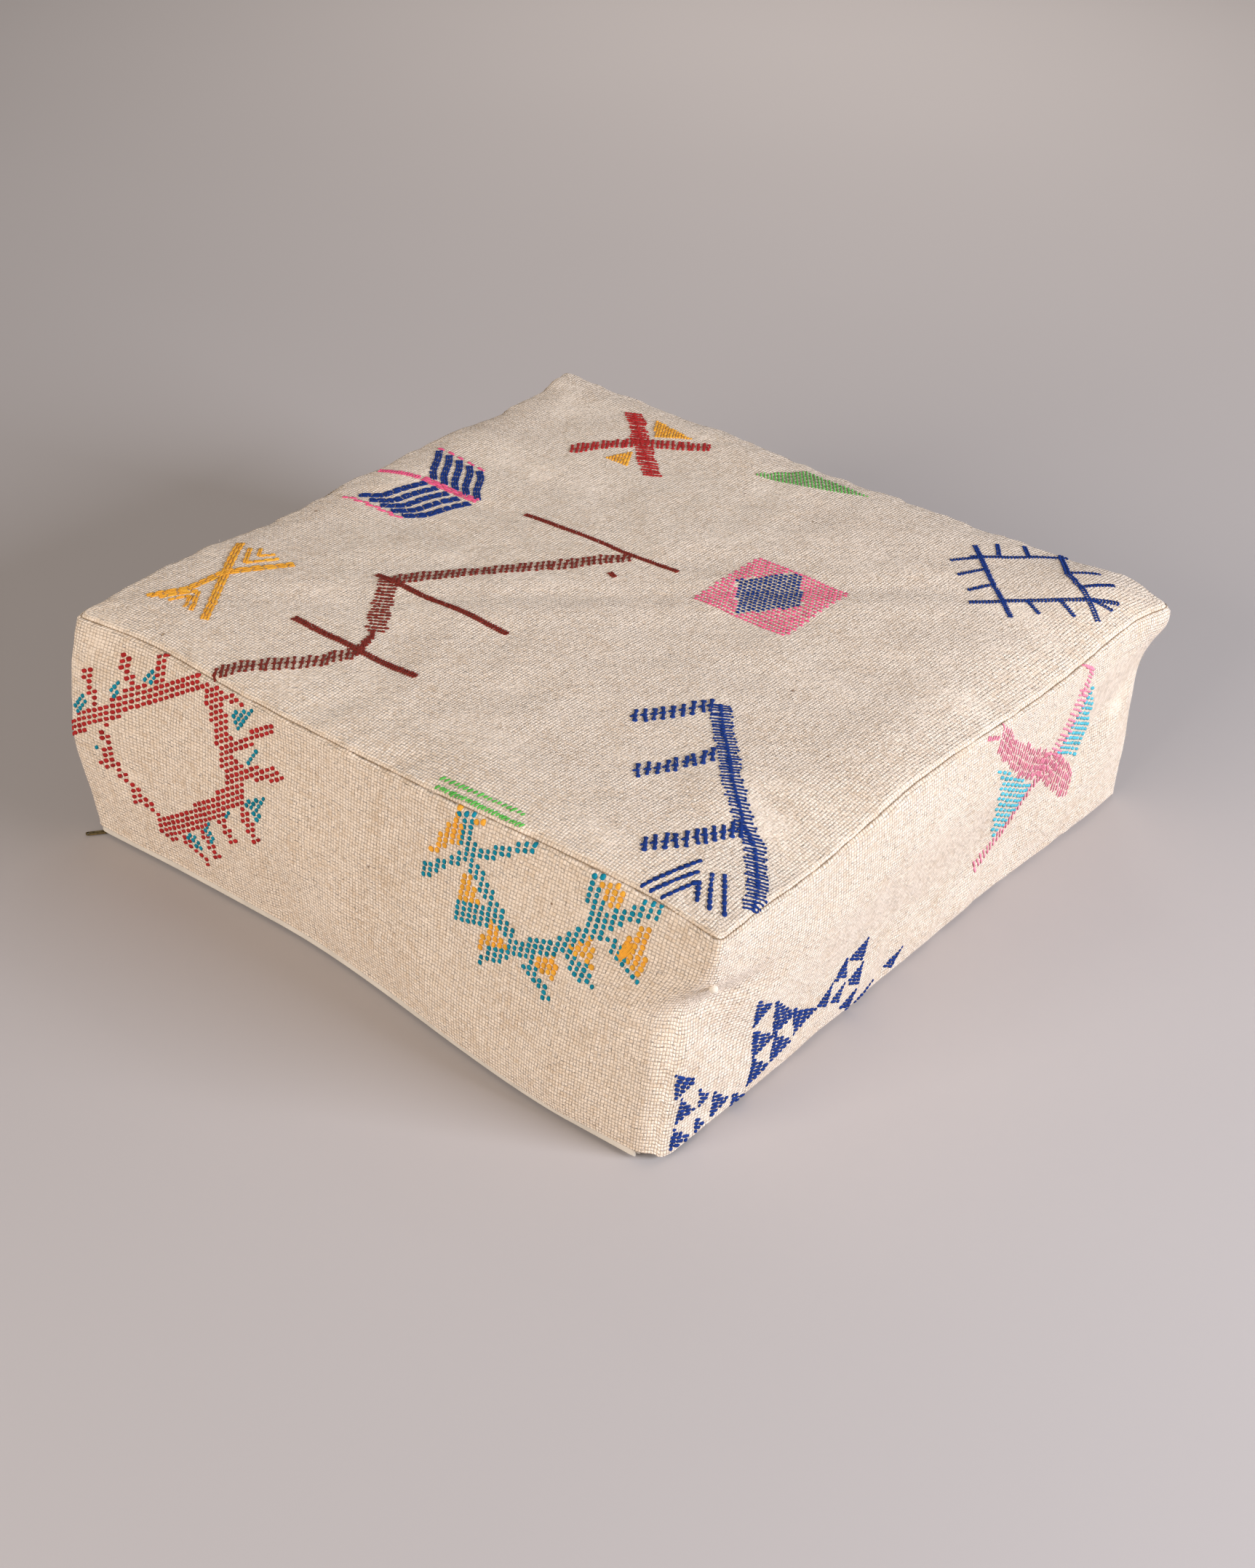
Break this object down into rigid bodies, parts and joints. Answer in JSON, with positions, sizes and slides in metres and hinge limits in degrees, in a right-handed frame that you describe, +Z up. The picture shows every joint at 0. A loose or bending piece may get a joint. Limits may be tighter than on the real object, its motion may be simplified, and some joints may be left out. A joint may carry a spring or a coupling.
{
  "type": "floor cushion",
  "caption": "Square box floor cushion: hand-woven cream cover with geometric embroidery, foam insert, and a zip along the lower front edge",
  "frame": {"origin": "on the floor under the centre of the cushion's square footprint", "axes": "+Z up; the front wall with the zip faces -Y; the zip opens towards +X"},
  "size_m": [0.6076, 0.6135, 0.2006],
  "materials": {
    "cover_cloth": "hand-woven undyed wool and cotton, plain weave, slubs and soft nap",
    "base_cloth": "plain woven undyed cotton",
    "seam_thread": "matt sewing thread",
    "casing_cloth": "thin bleached lining cloth",
    "wadding": "fluffy polyester wadding",
    "foam": "open-cell cushion foam",
    "zip_tape": "smooth close-woven cotton tape",
    "aged_brass": "antique brass, rubbed on the edges",
    "thread_blue": "matt cotton thread",
    "thread_orange": "thick soft cotton yarn",
    "thread_russet": "thick soft cotton yarn",
    "thread_navy": "thick soft cotton yarn",
    "thread_pink": "thick soft cotton yarn",
    "thread_red": "thick soft cotton yarn",
    "thread_green": "thick soft cotton yarn",
    "thread_teal": "thick soft cotton yarn",
    "thread_aqua": "thick soft cotton yarn"
  },
  "bodies": {
    "cushion": {"wall_front_right": "cover_cloth", "wall_back_left": "cover_cloth", "top_panel": "cover_cloth", "bottom_panel": "base_cloth", "top_seam_thread": "seam_thread", "bottom_seam_thread": "seam_thread", "left_seam_thread": "seam_thread", "right_seam_thread": "seam_thread", "insert_casing": "casing_cloth", "wadding_wrap": "wadding", "foam_core": "foam", "zip_lap": "zip_tape", "zip_tape_front": "zip_tape", "zip_tape_rear": "zip_tape", "zip_teeth_rear": "aged_brass", "zip_teeth_front": "aged_brass", "zip_top_stop": "aged_brass", "zip_end_box": "aged_brass", "zip_bartack": "thread_blue", "top_orange_hourglass": "thread_orange", "top_russet_zigzag": "thread_russet", "top_pink_line": "thread_pink", "top_navy_feather": "thread_navy", "top_red_cross": "thread_red", "top_orange_wedges": "thread_orange", "top_green_leaf": "thread_green", "top_pink_square": "thread_pink", "top_navy_rhombus": "thread_navy", "top_navy_lattice": "thread_navy", "top_navy_branch": "thread_navy", "top_navy_chevrons": "thread_navy", "top_green_rows": "thread_green", "front_red_ring": "thread_red", "front_teal_wedges": "thread_teal", "front_teal_ring": "thread_teal", "front_orange_wedges": "thread_orange", "right_navy_wedges": "thread_navy", "right_pink_cross": "thread_pink", "right_aqua_wedges": "thread_aqua", "left_russet_zigzag": "thread_russet", "back_teal_cross": "thread_teal", "back_orange_wedges": "thread_orange"},
    "slider": {"zip_slider": "aged_brass"},
    "pull": {"zip_pull": "aged_brass"}
  },
  "joints": [
    {"name": "zip_slide", "type": "slide", "parent": "cushion", "child": "slider", "axis": [1, 0, 0], "range_m": [0, 0.556]},
    {"name": "pull_swing", "type": "hinge", "parent": "slider", "child": "pull", "pos_m": [-0.2892, -0.29, 0.00175], "axis": [0, 0, 1], "range_deg": [-50, 97]}
  ]
}
